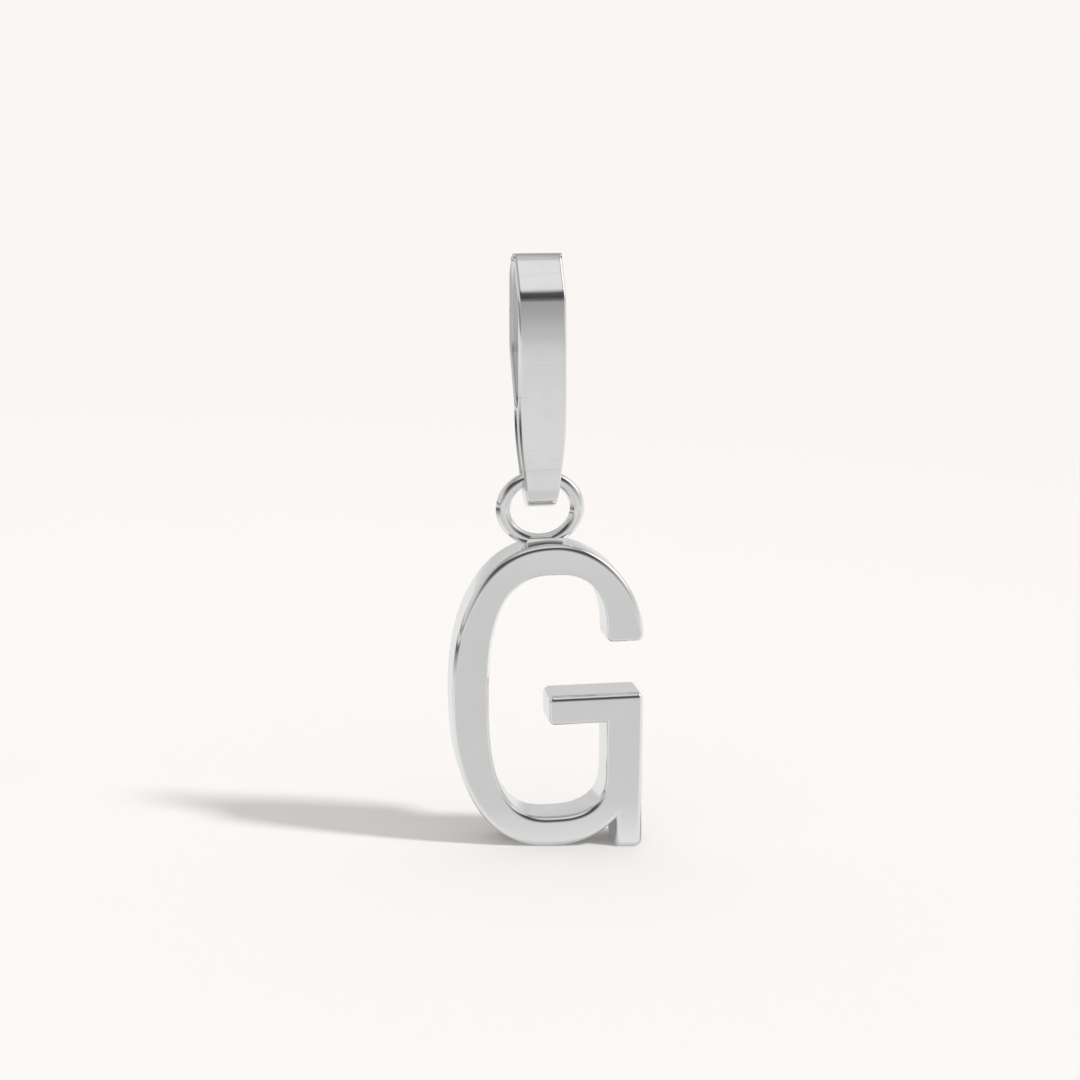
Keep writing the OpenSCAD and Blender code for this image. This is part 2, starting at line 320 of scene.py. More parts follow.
def cut(piece, bm):
    """Cuts the shape in bm out of a piece, for good."""
    cutter = new_object(bm, "cutter")
    shading = piece.modifiers["Even shading"]
    shading.show_viewport = False
    work = piece.modifiers.new("Cut", "BOOLEAN")
    work.operation = "DIFFERENCE"
    work.solver = "EXACT"
    work.object = cutter
    graph = bpy.context.evaluated_depsgraph_get()
    done = bpy.data.meshes.new_from_object(piece.evaluated_get(graph))
    piece.modifiers.remove(work)
    shading.show_viewport = True
    piece.data = done
    done.name = piece.name
    bpy.data.objects.remove(cutter)
    done.set_sharp_from_angle(angle=SHARP_ANGLE)


def squared(middle, across, up, squareness, start, steps):
    """A quarter of a squared ellipse in X-Z, from the angle start on, a quarter turn to the left."""
    power = 2 / squareness
    points = []
    for i in range(steps + 1):
        angle = start + pi / 2 * i / steps
        x = copysign(abs(cos(angle)) ** power, cos(angle))
        z = copysign(abs(sin(angle)) ** power, sin(angle))
        points.append(Vector((middle[0] + across * x, middle[1] + up * z)))
    return points


def soft_corner(before, corner, after, radius, steps=8):
    """An arc in place of an outward corner between two points of the outline."""
    to_before = (before - corner).normalized()
    to_after = (after - corner).normalized()
    half = acos(to_before.dot(to_after)) / 2
    middle = corner + (to_before + to_after).normalized() * radius / sin(half)
    first = corner + to_before * radius / tan(half) - middle
    last = corner + to_after * radius / tan(half) - middle
    sweep = first.angle_signed(last)
    return [middle + Matrix.Rotation(-sweep * i / steps, 2) @ first for i in range(steps + 1)]


def letter_outline(sizes):
    """The letter's outline in X-Z over its foot, to the left from the upper terminal round to it."""
    steps = sizes.arc_steps
    right = sizes.bowl_shift + sizes.bowl_right
    stem = right - sizes.stem
    bar_end = right - sizes.bar_length
    bar_under = sizes.bar_z - sizes.bar
    foot = right - sizes.foot
    bowl_up = (sizes.height - sizes.bowl_z) / 2
    mid = (sizes.bowl_shift, sizes.bowl_z + bowl_up)
    counter_low = sizes.bowl_z + sizes.bottom_stroke
    counter_up = (sizes.height - sizes.top_stroke - counter_low) / 2
    counter = (sizes.bowl_shift, counter_low + counter_up)
    counter_left = sizes.bowl_left - sizes.stroke
    counter_right = sizes.bowl_right - sizes.stem
    upper = (sizes.bowl_shift, sizes.terminal_z + sizes.terminal_turn)
    lower = (sizes.bowl_shift, counter_low + sizes.stem_turn)
    soft = sizes.corner * sizes.edge
    corner_room = 1.3 * soft
    over_end = sizes.terminal_z + corner_room

    def outer(start):
        return squared(mid, sizes.bowl_left, bowl_up, sizes.outer_squareness, start, steps)

    def inner(middle, across, up, start):
        return squared(middle, across, up, sizes.inner_squareness, start, steps)[::-1]

    top_right = squared(upper, sizes.bowl_right, sizes.height - upper[1], sizes.top_squareness, 0, steps)
    top_right = [p for p in top_right if p.y > over_end]
    under_right = [p for p in outer(-pi / 2) if p.x < foot]
    top_inside = inner(upper, counter_right, counter[1] + counter_up - upper[1], 0)
    top_inside = [p for p in top_inside if p.y > over_end]
    share = ((foot - sizes.bowl_shift) / sizes.bowl_left) ** sizes.outer_squareness
    notch = Vector((foot, mid[1] - bowl_up * (1 - share) ** (1 / sizes.outer_squareness)))
    foot_left = Vector((foot, 0))
    foot_right = Vector((right, 0))
    bar_right = Vector((right, sizes.bar_z))
    bar_left = Vector((bar_end, sizes.bar_z))
    bar_low = Vector((bar_end, bar_under))
    bar_in = Vector((stem, bar_under))
    end_in = Vector((stem, sizes.terminal_z))
    end_out = Vector((right, sizes.terminal_z))
    return [
        *top_right[:-1],
        *outer(pi / 2)[:-1],
        *outer(pi)[:-1],
        *under_right,
        notch,
        *soft_corner(notch, foot_left, foot_right, soft),
        *soft_corner(foot_left, foot_right, bar_right, soft),
        *soft_corner(foot_right, bar_right, bar_left, soft),
        *soft_corner(bar_right, bar_left, bar_low, soft),
        *soft_corner(bar_left, bar_low, bar_in, soft),
        bar_in,
        *inner(lower, counter_right, sizes.stem_turn, -pi / 2)[:-1],
        *inner(counter, counter_left, counter_up, pi)[:-1],
        *inner(counter, counter_left, counter_up, pi / 2)[:-1],
        *top_inside,
        *soft_corner(top_inside[-1], end_in, end_out, soft),
        *soft_corner(end_in, end_out, top_right[0], soft),
    ]


class PENDANT_OT_letter(Operator):
    """Build the cast letter with soft edges all round"""

    bl_idname = "pendant.letter"
    bl_label = "Letter"

    def execute(self, context):
        sizes = settings().pendant_letter
        bm = bmesh.new()
        outline = [bm.verts.new((p.x, MID_Y - sizes.depth / 2, FOOT_Z + p.y)) for p in letter_outline(sizes)]
        front = bm.faces.new(outline)
        back = bmesh.ops.extrude_face_region(bm, geom=[front], use_keep_orig=True)
        moved = [v for v in back["geom"] if isinstance(v, bmesh.types.BMVert)]
        bmesh.ops.translate(bm, verts=moved, vec=(0, sizes.depth, 0))
        bmesh.ops.recalc_face_normals(bm, faces=bm.faces)
        rims = [e for e in bm.edges if abs(e.verts[0].co.y - e.verts[1].co.y) < sizes.depth / 2]
        bmesh.ops.bevel(
            bm, geom=rims, offset=sizes.edge, segments=8, profile=0.5, affect="EDGES",
            material=-1, clamp_overlap=False, loop_slide=True,
        )
        new_piece(bm, "letter_body", "charm", "letter_silver", "letter")
        return {"FINISHED"}


class PENDANT_OT_eye(Operator):
    """Build the wire eye and the solder seat that joins it to the letter"""

    bl_idname = "pendant.eye"
    bl_label = "Eye"

    def execute(self, context):
        sizes = settings().pendant_eye
        letter = settings().pendant_letter
        letter_top = FOOT_Z + letter.height
        flat = sizes.height / sizes.width
        radius = sizes.wire / 2
        bm = bmesh.new()
        wire = bmesh.ops.create_circle(bm, segments=WIRE_SIDES, radius=radius)["verts"]
        bmesh.ops.translate(bm, verts=wire, vec=(sizes.width / 2 - radius, 0, 0))
        bmesh.ops.spin(
            bm, geom=bm.verts[:] + bm.edges[:], cent=(0, 0, 0), axis=(0, 1, 0),
            angle=2 * pi, steps=RING_STEPS, use_merge=True,
        )
        bmesh.ops.scale(bm, verts=bm.verts, vec=(1, 1, flat))
        middle = letter_top - sizes.sink + sizes.height / 2
        bmesh.ops.translate(bm, verts=bm.verts, vec=(0, MID_Y, middle))
        new_piece(bm, "wire_eye", "charm", "letter_silver")

        seat_low = letter_top - letter.edge
        tall = letter.edge + sizes.solder
        bm = bmesh.new()
        bmesh.ops.create_cube(bm, size=1)
        bmesh.ops.scale(bm, verts=bm.verts, vec=(sizes.seat, sizes.wire, tall))
        bmesh.ops.translate(bm, verts=bm.verts, vec=(sizes.seat_shift, MID_Y, seat_low + tall / 2))
        bmesh.ops.bevel(
            bm, geom=bm.edges[:], offset=sizes.seat_edge, segments=5, profile=0.5,
            affect="EDGES", material=-1,
        )
        new_piece(bm, "solder_seat", "charm", "letter_silver")
        return {"FINISHED"}


def strap_profile(bm, sizes, start):
    """A soft-edged cross-section of the strap, whose outer face looks to the front."""
    across = Vector((sizes.strap / 2, 0, 0))
    inward = Vector((0, sizes.gauge, 0))
    corners = [start - across, start + across, start + across + inward, start - across + inward]
    face = bm.faces.new([bm.verts.new(c) for c in corners])
    bmesh.ops.bevel(
        bm, geom=list(face.verts), offset=sizes.edge, segments=6, profile=0.5,
        affect="VERTICES", material=-1,
    )
    bmesh.ops.delete(bm, geom=bm.faces[:], context="FACES_ONLY")
    return bm.verts[:] + bm.edges[:]


def strap_along(bm, loop, moves, start, heading):
    """Draws the cross-section along straights (length,) and bends (outer radius, turn) of the outer face.
    Both numbers of a bend are negative where it turns the other way."""
    at = start.copy()
    for move in moves:
        ahead = Vector((0, cos(heading), sin(heading)))
        if len(move) == 1:
            steps = max(1, ceil(move[0] / STRAIGHT_STEP))
            for _ in range(steps):
                edges = [e for e in loop if isinstance(e, bmesh.types.BMEdge)]
                loop = bmesh.ops.extrude_edge_only(bm, edges=edges)["geom"]
                loop = [g for g in loop if not isinstance(g, bmesh.types.BMFace)]
                moved = [v for v in loop if isinstance(v, bmesh.types.BMVert)]
                bmesh.ops.translate(bm, verts=moved, vec=ahead * move[0] / steps)
            at += ahead * move[0]
            continue
        radius, bend = move
        middle = at + Vector((0, -sin(heading), cos(heading))) * radius
        loop = bmesh.ops.spin(
            bm, geom=loop, cent=middle, axis=(1, 0, 0), angle=bend,
            steps=max(2, ceil(abs(bend) / BEND_STEP)),
        )["geom_last"]
        at = middle + Matrix.Rotation(bend, 3, "X") @ (at - middle)
        heading += bend


def seat_share(point, hook_middle, outer, gauge):
    """How far a point of the hook's bend lies from its outer side towards its inner side, from 0 to 1."""
    bend_end = hook_middle.z + 0.1 * gauge
    if point.z > bend_end:
        return 0
    return min(1, max(0, (outer - hypot(point.y - hook_middle.y, point.z - hook_middle.z)) / gauge))


def half_width(sizes, z):
    """Half the strap's width at a height, which flares from the hook to its whole width."""
    tongue = HOOK_Z + sizes.tongue
    flare = HOOK_Z + sizes.flare
    if z < tongue:
        widening = (sizes.tongue_width - sizes.hook_width) * (z - HOOK_Z) / sizes.tongue
        return (sizes.hook_width + widening) / 2
    rest = max(0, (flare - z) / (flare - tongue))
    return (sizes.strap - (sizes.strap - sizes.tongue_width) * rest ** sizes.flare_curve) / 2


def narrow(bm, sizes):
    """Narrows a strap drawn at its whole width to its front outline."""
    for vert in bm.verts:
        vert.co.x *= half_width(sizes, vert.co.z) / (sizes.strap / 2)


def close_ends(bm):
    """Closes the open ends of a strap."""
    bmesh.ops.holes_fill(bm, edges=[e for e in bm.edges if e.is_boundary], sides=0)


def hinge_middle():
    """The hinge's axis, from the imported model."""
    joint = next(j for j in frame["joints"] if j["name"] == "gate_hinge")
    return Vector(joint["pos_m"])


def bar_across(bm, radius, start, end, edge=0.0):
    """A round bar along X through the hinge's middle."""
    middle = hinge_middle()
    middle.x = (start + end) / 2
    turned = Matrix.Translation(middle) @ Matrix.Rotation(pi / 2, 4, "Y")
    made = bmesh.ops.create_cone(
        bm, cap_ends=True, segments=BARREL_SIDES, radius1=radius, radius2=radius, depth=end - start,
        matrix=turned,
    )["verts"]
    if edge:
        rims = {e for v in made for e in v.link_edges if abs(e.verts[0].co.x - e.verts[1].co.x) < edge}
        bmesh.ops.bevel(
            bm, geom=list(rims), offset=edge, segments=3, profile=0.5, affect="EDGES", material=-1
        )


def bore(piece):
    """Bores a piece for the hinge pin."""
    sizes, hinge = settings().pendant_bail, settings().pendant_hinge
    bm = bmesh.new()
    bar_across(bm, hinge.bore / 2, -sizes.strap, sizes.strap)
    cut(piece, bm)


class PENDANT_OT_bail(Operator):
    """Build the bail's frame with its hook, its neck, its loop and its two hinge ears"""

    bl_idname = "pendant.bail"
    bl_label = "Bail frame"

    def execute(self, context):
        sizes, hinge = settings().pendant_bail, settings().pendant_hinge
        hook_radius = sizes.neck / 2
        half_gauge = sizes.gauge / 2
        top = HOOK_Z + sizes.height - hinge.rise
        lean_out = sizes.loop - sizes.neck
        slope = (lean_out - 2 * sizes.lean_bend * (1 - cos(sizes.lean))) / sin(sizes.lean)
        lean_start = HOOK_Z + sizes.lean_height
        lean_end = lean_start + 2 * sizes.lean_bend * sin(sizes.lean) + slope * cos(sizes.lean)
        hook_middle = Vector((0, MID_Y, HOOK_Z + hook_radius))
        start = Vector((0, MID_Y - hook_radius, HOOK_Z + sizes.tongue))
        moves = [
            (start.z - hook_middle.z,),
            (hook_radius, pi),
            (lean_start - hook_middle.z,),
            (-(sizes.lean_bend - half_gauge), -sizes.lean),
            (slope,),
            (sizes.lean_bend + half_gauge, sizes.lean),
            (top - sizes.top_bend - lean_end,),
            (sizes.top_bend, pi / 2),
        ]
        bm = bmesh.new()
        loop = strap_profile(bm, sizes, start)
        strap_along(bm, loop, moves, start, -pi / 2)
        raise_seat = sizes.hook - sizes.gauge
        for vert in bm.verts:
            vert.co.z += raise_seat * seat_share(vert.co, hook_middle, hook_radius, sizes.gauge)
        narrow(bm, sizes)
        close_ends(bm)
        frame_piece = new_piece(bm, "bail_strap", "bail", "bail_silver", "bail_frame")

        inner_ear = sizes.strap / 2 - hinge.ear
        bm = bmesh.new()
        bar_across(bm, hinge.barrel / 2 + hinge.clearance, -inner_ear, inner_ear)
        cut(frame_piece, bm)
        bore(frame_piece)
        for side, name in ((-1, "ear_left"), (1, "ear_right")):
            bm = bmesh.new()
            ends = sorted((side * inner_ear, side * (sizes.strap / 2 + hinge.proud)))
            bar_across(bm, hinge.barrel / 2, *ends, edge=hinge.edge)
            bore(new_piece(bm, name, "bail", "bail_silver"))
        return {"FINISHED"}


class PENDANT_OT_gate(Operator):
    """Build the bail's long front gate with its hinge barrel"""

    bl_idname = "pendant.gate"
    bl_label = "Gate"

    def execute(self, context):
        sizes, hinge = settings().pendant_bail, settings().pendant_hinge
        middle = hinge_middle()
        radius = hinge.barrel / 2
        start = Vector((0, MID_Y - sizes.neck / 2, HOOK_Z + sizes.tongue + hinge.gate_gap))
        meet = middle + Vector((0, -cos(sizes.crest), sin(sizes.crest))) * radius
        bow_in = sizes.bow_bend * (1 - cos(sizes.bow))
        bow_up = sizes.bow_bend * sin(sizes.bow)
        shoulder_in = sizes.shoulder * (cos(sizes.bow) - cos(sizes.facet))
        shoulder_up = sizes.shoulder * (sin(sizes.facet) - sin(sizes.bow))
        crest_in = sizes.crest_bend * (cos(sizes.facet) - cos(sizes.crest))
        crest_up = sizes.crest_bend * (sin(sizes.crest) - sin(sizes.facet))
        facet = (meet.y - start.y - bow_in - shoulder_in - crest_in) / sin(sizes.facet)
        facet_up = facet * cos(sizes.facet)
        front = meet.z - start.z - bow_up - shoulder_up - facet_up - crest_up
        moves = [
            (front,),
            (-sizes.bow_bend, -sizes.bow),
            (-sizes.shoulder, sizes.bow - sizes.facet),
            (facet,),
            (-sizes.crest_bend, sizes.facet - sizes.crest),
        ]
        bm = bmesh.new()
        loop = strap_profile(bm, sizes, start)
        strap_along(bm, loop, moves, start, pi / 2)
        narrow(bm, sizes)
        close_ends(bm)
        gate_piece = new_piece(bm, "gate_strap", "gate", "gate_silver", "bail_gate")

        clear = sizes.strap / 2 - hinge.ear - hinge.play
        for side in (-1, 1):
            bm = bmesh.new()
            bar_across(bm, radius + hinge.play, *sorted((side * clear, side * sizes.strap)))
            cut(gate_piece, bm)
        bm = bmesh.new()
        bar_across(bm, radius, -clear, clear, edge=hinge.edge)
        for piece in (gate_piece, new_piece(bm, "hinge_barrel", "gate", "gate_silver")):
            bore(piece)
        return {"FINISHED"}


def node(tree, kind, label="", **values):
    """Adds a node; values name its own properties."""
    made = tree.nodes.new(kind)
    made.label = label
    for key, value in values.items():
        setattr(made, key, value)
    return made


def eased(tree, label, value, start, end):
    """A smooth step that is 0 at start and 1 at end."""
    step = node(tree, "ShaderNodeMapRange", label, interpolation_type="SMOOTHSTEP")
    step.inputs["From Min"].default_value = start
    step.inputs["From Max"].default_value = end
    tree.links.new(value, step.inputs["Value"])
    return step.outputs["Result"]


def combined(tree, label, operation, *values):
    """The result of a sum, a product or another operation on numbers and on outputs of nodes."""
    math = node(tree, "ShaderNodeMath", label, operation=operation)
    for socket, value in zip(math.inputs, values):
        if isinstance(value, float):
            socket.default_value = value
        else:
            tree.links.new(value, socket)
    return math.outputs["Value"]


def mixed(tree, label, share, first, second, blend="MIX"):
    """The first colour or grey value where the share is 0, and the second where it is 1."""
    mix = node(tree, "ShaderNodeMix", label, data_type="RGBA", blend_type=blend)
    tree.links.new(share, mix.inputs["Factor"])
    for name, value in (("A", first), ("B", second)):
        if isinstance(value, float):
            mix.inputs[name].default_value = (value, value, value, 1)
        else:
            tree.links.new(value, mix.inputs[name])
    return mix.outputs["Result"]


def blended(tree, label, share, first, second):
    """The first shader where the share is 0, and the second where it is 1."""
    mix = node(tree, "ShaderNodeMixShader", label)
    for value, socket in zip((share, first, second), mix.inputs):
        tree.links.new(value, socket)
    return mix.outputs["Shader"]


def noise(tree, label, place, scale, detail):
    """A noise texture's value."""
    texture = node(tree, "ShaderNodeTexNoise", label)
    texture.inputs["Scale"].default_value = scale
    texture.inputs["Detail"].default_value = detail
    tree.links.new(place, texture.inputs["Vector"])
    return texture.outputs["Fac"]


def bumped(tree, label, height, strength, depth, normal=None):
    """A normal bent by a height map, on top of another bent normal where one is given."""
    bump = node(tree, "ShaderNodeBump", label)
    bump.inputs["Distance"].default_value = depth
    tree.links.new(height, bump.inputs["Height"])
    tree.links.new(strength, bump.inputs["Strength"])
    if normal:
        tree.links.new(normal, bump.inputs["Normal"])
    return bump.outputs["Normal"]


def hazed(tree, label, rough, mask, haze):
    """A roughness with a haze added to it where a mask is 1."""
    return combined(tree, label, "ADD", rough, combined(tree, label + " haze", "MULTIPLY", mask, haze))


def hairlines(tree, place):
    """The masks of the sets of fine scratches."""
    masks = []
    for scale, turns in HAIRLINES:
        moved = node(tree, "ShaderNodeMapping", "Scratches' place")
        moved.inputs["Rotation"].default_value = [radians(angle) for angle in turns]
        moved.inputs["Scale"].default_value = scale
        tree.links.new(place, moved.inputs["Vector"])
        lines = noise(tree, "Hairline scratches", moved.outputs["Vector"], scale=1, detail=1)
        masks.append(eased(tree, "Thin lines", lines, start=0.63, end=0.7))
    return masks


def polish_group():
    """What polishing and wear leave: slight waves, fine marks, haze, scratches, rubbed edges, satin
    insides and a slight tarnish."""
    if "Silver polish" in bpy.data.node_groups:
        return bpy.data.node_groups["Silver polish"]
    group = bpy.data.node_groups.new("Silver polish", "ShaderNodeTree")
    for side, kind, names in (
        ("INPUT", "NodeSocketColor", ("Tone", "Tarnish")),
        ("INPUT", "NodeSocketFloat", ("Haze", "Wave", "Grain", "Scratches", "Wear", "Satin")),
        ("OUTPUT", "NodeSocketColor", ("Base Color",)),
        ("OUTPUT", "NodeSocketFloat", ("Roughness",)),
        ("OUTPUT", "NodeSocketVector", ("Normal",)),
    ):
        for name in names:
            group.interface.new_socket(name, in_out=side, socket_type=kind)
    given = node(group, "NodeGroupInput").outputs
    result = node(group, "NodeGroupOutput").inputs
    place = node(group, "ShaderNodeTexCoord").outputs["Object"]

    waves = noise(group, "Polishing waves", place, scale=420, detail=1)
    marks = noise(group, "Fine marks", place, scale=9000, detail=3)
    patches = noise(group, "Patches", place, scale=900, detail=5)
    spread = node(group, "ShaderNodeMapRange", "Haze spread")
    for name, value in (("From Min", 0.3), ("From Max", 0.7), ("To Min", 0.7), ("To Max", 1.3)):
        spread.inputs[name].default_value = value
    group.links.new(patches, spread.inputs["Value"])
    rough = combined(group, "Roughness", "MULTIPLY", spread.outputs["Result"], given["Haze"])
    for mask in hairlines(group, place):
        rough = hazed(group, "Scratched", rough, mask, given["Scratches"])
    shape = node(group, "ShaderNodeNewGeometry", "Edges")
    edges = eased(group, "Edge", shape.outputs["Pointiness"], start=0.51, end=0.6)
    rubbed_patches = eased(group, "Rubbed patches", patches, start=0.35, end=0.6)
    rubbed = combined(group, "Rubbed edges", "MULTIPLY", edges, rubbed_patches)
    rough = hazed(group, "Worn", rough, rubbed, given["Wear"])
    inside = node(group, "ShaderNodeAttribute", "Insides", attribute_name="inside")
    rough = hazed(group, "Satin inside", rough, inside.outputs["Fac"], given["Satin"])
    tinted = mixed(group, "Slight tarnish", patches, given["Tone"], given["Tarnish"], blend="MULTIPLY")
    wavy = bumped(group, "Waves", waves, given["Wave"], depth=0.05 * MM)
    fine = bumped(group, "Grain", marks, given["Grain"], depth=0.002 * MM, normal=wavy)
    for name, value in (("Base Color", tinted), ("Roughness", rough), ("Normal", fine)):
        group.links.new(value, result[name])
    return group


def polished_silver():
    """The metal of every piece."""
    if "Polished silver" in bpy.data.materials:
        return bpy.data.materials["Polished silver"]
    finish = settings().pendant_silver
    material = bpy.data.materials.new("Polished silver")
    material.use_nodes = True
    tree = material.node_tree
    shader = tree.nodes["Principled BSDF"]
    shader.inputs["Metallic"].default_value = 1
    polish = node(tree, "ShaderNodeGroup", "Silver polish", node_tree=polish_group())
    polish.inputs["Tone"].default_value = (*finish.tone, 1)
    polish.inputs["Tarnish"].default_value = (*finish.tarnish, 1)
    for name in ("Haze", "Wave", "Grain", "Scratches", "Wear", "Satin"):
        polish.inputs[name].default_value = getattr(finish, name.lower())
    for made in polish.outputs:
        tree.links.new(made, shader.inputs[made.name])
    return material


class PENDANT_OT_pin(Operator):
    """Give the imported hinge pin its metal"""

    bl_idname = "pendant.pin"
    bl_label = "Hinge pin"

    def execute(self, context):
        pin = frame["nodes"]["hinge_pin"]
        pin.data.materials.clear()
        pin.data.materials.append(polished_silver())
        return {"FINISHED"}


def toward(azimuth, elevation):
    """The direction of a turn from the front and a height over the horizon."""
    return Vector((sin(azimuth) * cos(elevation), -cos(azimuth) * cos(elevation), sin(elevation)))


def brightness_by(tree, label, place, stops):
    """A ramp of grey values over a height or a distance."""
    ramp = node(tree, "ShaderNodeValToRGB", label)
    tree.links.new(place, ramp.inputs["Fac"])
    elements = ramp.color_ramp.elements
    for element, (position, value) in zip(elements, (stops[0], stops[-1])):
        element.position = position
        element.color = (value, value, value, 1)
    for position, value in stops[1:-1]:
        elements.new(position).color = (value, value, value, 1)
    return ramp.outputs["Color"]


def facing(tree, label, way, middle, inner, outer):
    """1 where a way is within the inner angle of a middle direction, 0 where it is past the outer one."""
    near = node(tree, "ShaderNodeVectorMath", label, operation="DOT_PRODUCT")
    near.inputs[1].default_value = middle
    tree.links.new(way, near.inputs[0])
    return eased(tree, label, near.outputs["Value"], start=cos(outer), end=cos(inner))


def dome(studio):
    """A plain white dome for the light and a plain backdrop for the camera. The metal mirrors a bright
    room instead, with a dark hall in front of it and a window on the right."""
    world = bpy.data.worlds.new("Studio")
    bpy.context.scene.world = world
    world.use_nodes = True
    tree = world.node_tree
    tree.nodes.clear()
    way = node(tree, "ShaderNodeTexCoord").outputs["Generated"]
    axes = node(tree, "ShaderNodeSeparateXYZ")
    tree.links.new(way, axes.inputs["Vector"])
    across = combined(tree, "Across", "ABSOLUTE", axes.outputs["X"])
    front = eased(tree, "In front", axes.outputs["Y"], start=0.0, end=-0.35)
    middle = eased(tree, "In the middle", across, start=0.96, end=0.66)
    in_hall = combined(tree, "In the hall", "MULTIPLY", front, middle)
    bright = brightness_by(tree, "Bright room", axes.outputs["Z"], ROOM_LIGHT)
    dark = brightness_by(tree, "Dark hall", axes.outputs["Z"], HALL_LIGHT)
    around = mixed(tree, "Room and hall", in_hall, bright, dark)
    in_window = facing(
        tree, "Towards the window", way, toward(studio.window_azimuth, studio.window_elevation),
        inner=studio.window_inner, outer=studio.window_outer,
    )
    around = mixed(tree, "Room, hall and window", in_window, around, studio.window)

    room = node(tree, "ShaderNodeBackground", "Room")
    tree.links.new(around, room.inputs["Color"])
    glow = node(tree, "ShaderNodeBackground", "Dome")
    glow.inputs["Strength"].default_value = studio.dome
    plain = node(tree, "ShaderNodeBackground", "Backdrop")
    plain.inputs["Color"].default_value = (*studio.backdrop, 1)
    rays = node(tree, "ShaderNodeLightPath").outputs
    light, mirrored, backdrop = [made.outputs["Background"] for made in (glow, room, plain)]
    unseen = blended(tree, "To the metal, the room", rays["Is Glossy Ray"], light, mirrored)
    seen = blended(tree, "To the camera, the backdrop", rays["Is Camera Ray"], unseen, backdrop)
    out = node(tree, "ShaderNodeOutputWorld")
    tree.links.new(seen, out.inputs["Surface"])


def painted_floor_reflection(tree, place, distance, studio):
    """The floor's painted brightness in the metal: the paper behind, painted light and shade on the paper in
    front, and painted dark bands on the left.
    """
    # The painted shade on the paper in front begins along a shallow V with its point at the letter
    v_slope = 0.35
    axes = node(tree, "ShaderNodeSeparateXYZ")
    tree.links.new(place, axes.inputs["Vector"])
    across = combined(tree, "Across", "ABSOLUTE", axes.outputs["X"])
    aside = combined(tree, "Aside", "MULTIPLY", across, v_slope)
    depth = combined(tree, "Depth", "ADD", axes.outputs["Y"], aside)
    front = eased(tree, "In front", depth, start=1 * MM, end=-8 * MM)
    share = combined(tree, "Share of the reach", "DIVIDE", distance, LIGHT_REACH)
    paper = brightness_by(tree, "Paper in front", share, PAPER_LIGHT)
    paper = mixed(tree, "Paper behind and in front", front, studio.paper_behind, paper)
    # Painted shade: dark bands painted on the floor's left, which the metal mirrors as dark lines
    painted_bands = brightness_by(tree, "Painted dark bands", share, PAINTED_BAND_LIGHT)
    way = node(tree, "ShaderNodeVectorMath", "Way from the bail's top", operation="NORMALIZE")
    tree.links.new(place, way.inputs[0])
    on_painted_bands = facing(
        tree, "Towards the painted bands", way.outputs["Vector"], toward(studio.painted_band_azimuth, 0),
        inner=studio.painted_band_inner, outer=studio.painted_band_outer,
    )
    return mixed(tree, "Paper and painted bands", on_painted_bands, paper, painted_bands)


def contact_shadow(tree, place):
    """1 on the floor under the letter and just behind it, 0 away from it."""
    # The shadow is an oval, drawn as a circle in a space with a shorter X
    squeeze = Vector((0.3, 1, 0))
    middle = Vector((2 * MM, MID_Y + 1.2 * MM, 0))
    squeezed = node(tree, "ShaderNodeVectorMath", "Squeezed place", operation="MULTIPLY")
    squeezed.inputs[1].default_value = squeeze
    tree.links.new(place, squeezed.inputs[0])
    off = node(tree, "ShaderNodeVectorMath", "Distance from the shadow's middle", operation="DISTANCE")
    off.inputs[1].default_value = middle * squeeze
    tree.links.new(squeezed.outputs["Vector"], off.inputs[0])
    return eased(tree, "Contact shadow", off.outputs["Value"], start=3.2 * MM, end=1.2 * MM)


def floor_paper(studio):
    """Matt warm white paper that fades into the backdrop far away. To the metal it glows with painted light
    and shade of its own, with painted dark bands on the left and a painted contact shadow under the letter."""
    material = bpy.data.materials.new("Pale paper")
    material.use_nodes = True
    tree = material.node_tree
    shader = tree.nodes["Principled BSDF"]
    tint = [studio.paper * part / studio.backdrop[0] for part in studio.backdrop]
    shader.inputs["Base Color"].default_value = (*tint, 1)
    shader.inputs["Roughness"].default_value = 1
    shader.inputs["Specular IOR Level"].default_value = 0
    glow = node(tree, "ShaderNodeEmission", "Backdrop")
    glow.inputs["Color"].default_value = (*studio.backdrop, 1)
    place = node(tree, "ShaderNodeTexCoord").outputs["Object"]
    span = node(tree, "ShaderNodeVectorMath", "Distance", operation="LENGTH")
    tree.links.new(place, span.inputs[0])
    distance = span.outputs["Value"]
    far = eased(tree, "Far away", distance, start=studio.fade_start, end=studio.fade_end)
    seen = blended(tree, "Paper and backdrop", far, shader.outputs["BSDF"], glow.outputs["Emission"])

    # Painted reflection: to the metal the floor glows with painted light and shade in place of its lit paper
    card = node(tree, "ShaderNodeEmission", "Card")
    tree.links.new(painted_floor_reflection(tree, place, distance, studio), card.inputs["Color"])
    shadow = contact_shadow(tree, place)
    strength = combined(tree, "Card's light", "MULTIPLY_ADD", shadow, studio.contact - 1, 1.0)
    tree.links.new(strength, card.inputs["Strength"])
    glossy = node(tree, "ShaderNodeLightPath").outputs["Is Glossy Ray"]
    shown = blended(tree, "To the metal, the card", glossy, seen, card.outputs["Emission"])
    tree.links.new(shown, tree.nodes["Material Output"].inputs["Surface"])
    return material


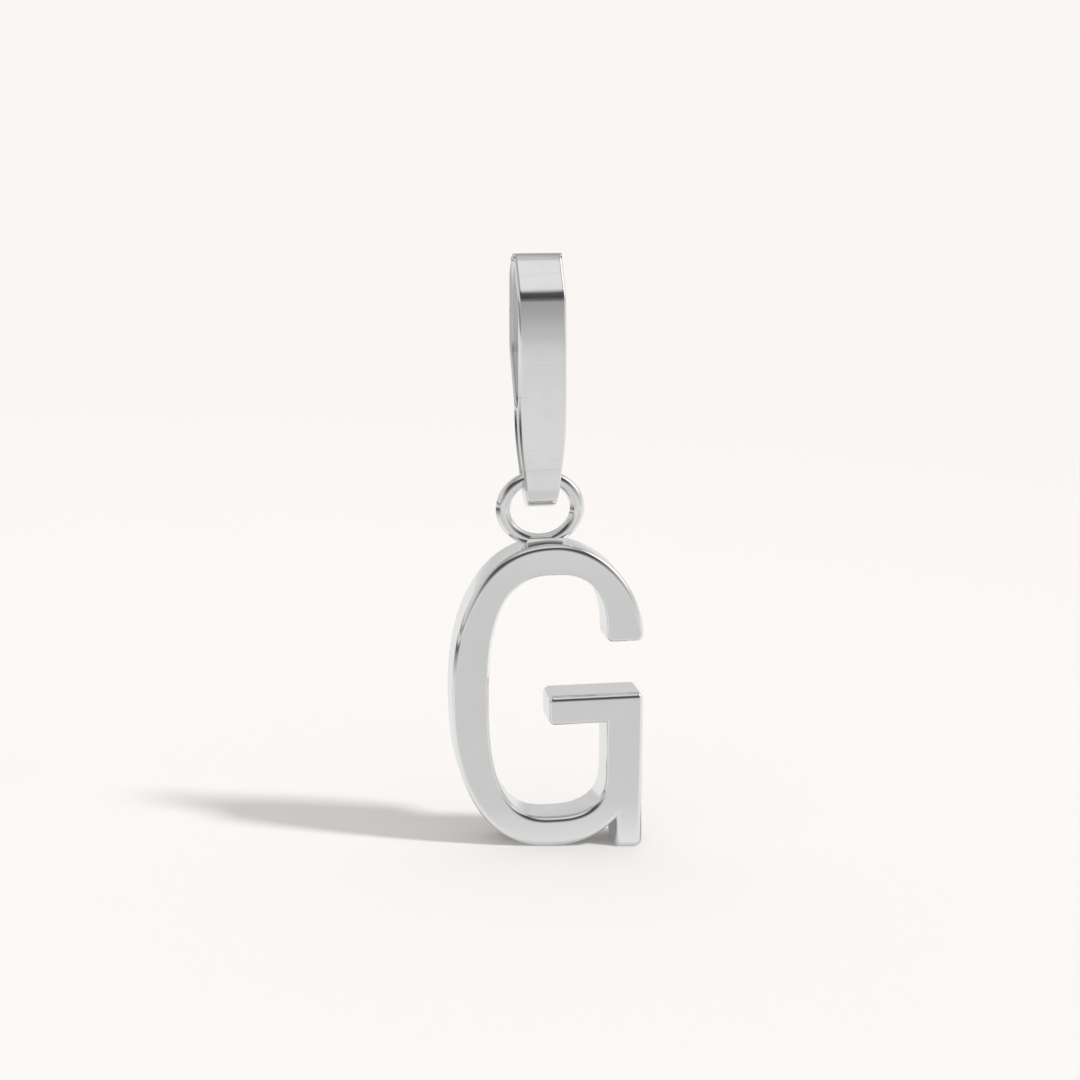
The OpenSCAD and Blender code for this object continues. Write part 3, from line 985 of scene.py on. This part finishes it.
class PENDANT_OT_studio(Operator):
    """Set up the camera, the pale floor and the studio light"""

    bl_idname = "pendant.studio"
    bl_label = "Studio"

    def execute(self, context):
        studio = settings().pendant_studio
        scene = context.scene
        scene.view_settings.view_transform = "Standard"

        aim = Vector((0, MID_Y, FOOT_Z + studio.aim_height))
        outlook = toward(studio.azimuth, studio.elevation)
        camera = bpy.data.objects.new("Camera", bpy.data.cameras.new("Camera"))
        camera.data.sensor_width = studio.sensor
        camera.data.lens = studio.lens
        camera.data.clip_start = 1 * MM
        camera.location = aim + outlook * studio.distance
        camera.rotation_euler = (-outlook).to_track_quat("-Z", "Y").to_euler()
        scene.collection.objects.link(camera)
        scene.camera = camera

        bm = bmesh.new()
        bmesh.ops.create_grid(bm, x_segments=2, y_segments=2, size=studio.floor)
        slope = Matrix.Rotation(studio.floor_slope, 3, "Y")
        bmesh.ops.rotate(bm, verts=bm.verts, cent=(letter_box[1].x, 0, 0), matrix=slope)
        bmesh.ops.translate(bm, verts=bm.verts, vec=(0, 0, FOOT_Z))
        ground = new_object(bm, "Floor")
        ground.data.materials.append(floor_paper(studio))

        dome(studio)
        sun = bpy.data.objects.new("Sun", bpy.data.lights.new("Sun", "SUN"))
        sun.data.energy = studio.sun_strength
        sun.data.angle = studio.sun_angle
        sunward = toward(studio.sun_azimuth, studio.sun_elevation)
        sun.rotation_euler = sunward.to_track_quat("Z", "Y").to_euler()
        sun.visible_glossy = False
        scene.collection.objects.link(sun)
        return {"FINISHED"}


class PENDANT_PT_panel(Panel):
    """Lists the pendant's pieces in the 3D view's sidebar"""

    bl_label = "Initial pendant"
    bl_idname = "PENDANT_PT_panel"
    bl_space_type = "VIEW_3D"
    bl_region_type = "UI"
    bl_category = "Pendant"

    def draw(self, context):
        for operator in OPERATORS:
            self.layout.operator(operator.bl_idname)
        for name, group in GROUPS.items():
            box = self.layout.box()
            box.label(text=group.__name__)
            for key in group.__annotations__:
                box.prop(getattr(context.scene, name), key)


GROUPS = {
    "pendant_letter": LetterSizes,
    "pendant_eye": EyeSizes,
    "pendant_bail": BailSizes,
    "pendant_hinge": HingeSizes,
    "pendant_silver": SilverFinish,
    "pendant_studio": StudioLight,
}
OPERATORS = (
    PENDANT_OT_letter,
    PENDANT_OT_eye,
    PENDANT_OT_bail,
    PENDANT_OT_gate,
    PENDANT_OT_pin,
    PENDANT_OT_studio,
)


def register():
    for name, group in GROUPS.items():
        bpy.utils.register_class(group)
        setattr(bpy.types.Scene, name, PointerProperty(type=group))
    for operator in OPERATORS:
        bpy.utils.register_class(operator)
    bpy.utils.register_class(PENDANT_PT_panel)


def unregister():
    bpy.utils.unregister_class(PENDANT_PT_panel)
    for operator in reversed(OPERATORS):
        bpy.utils.unregister_class(operator)
    for name, group in reversed(GROUPS.items()):
        delattr(bpy.types.Scene, name)
        bpy.utils.unregister_class(group)


def main():
    """Builds every piece and the studio."""
    register()
    bpy.ops.pendant.letter()
    bpy.ops.pendant.eye()
    bpy.ops.pendant.bail()
    bpy.ops.pendant.gate()
    bpy.ops.pendant.pin()
    bpy.ops.pendant.studio()


if __name__ == "__main__":
    main()
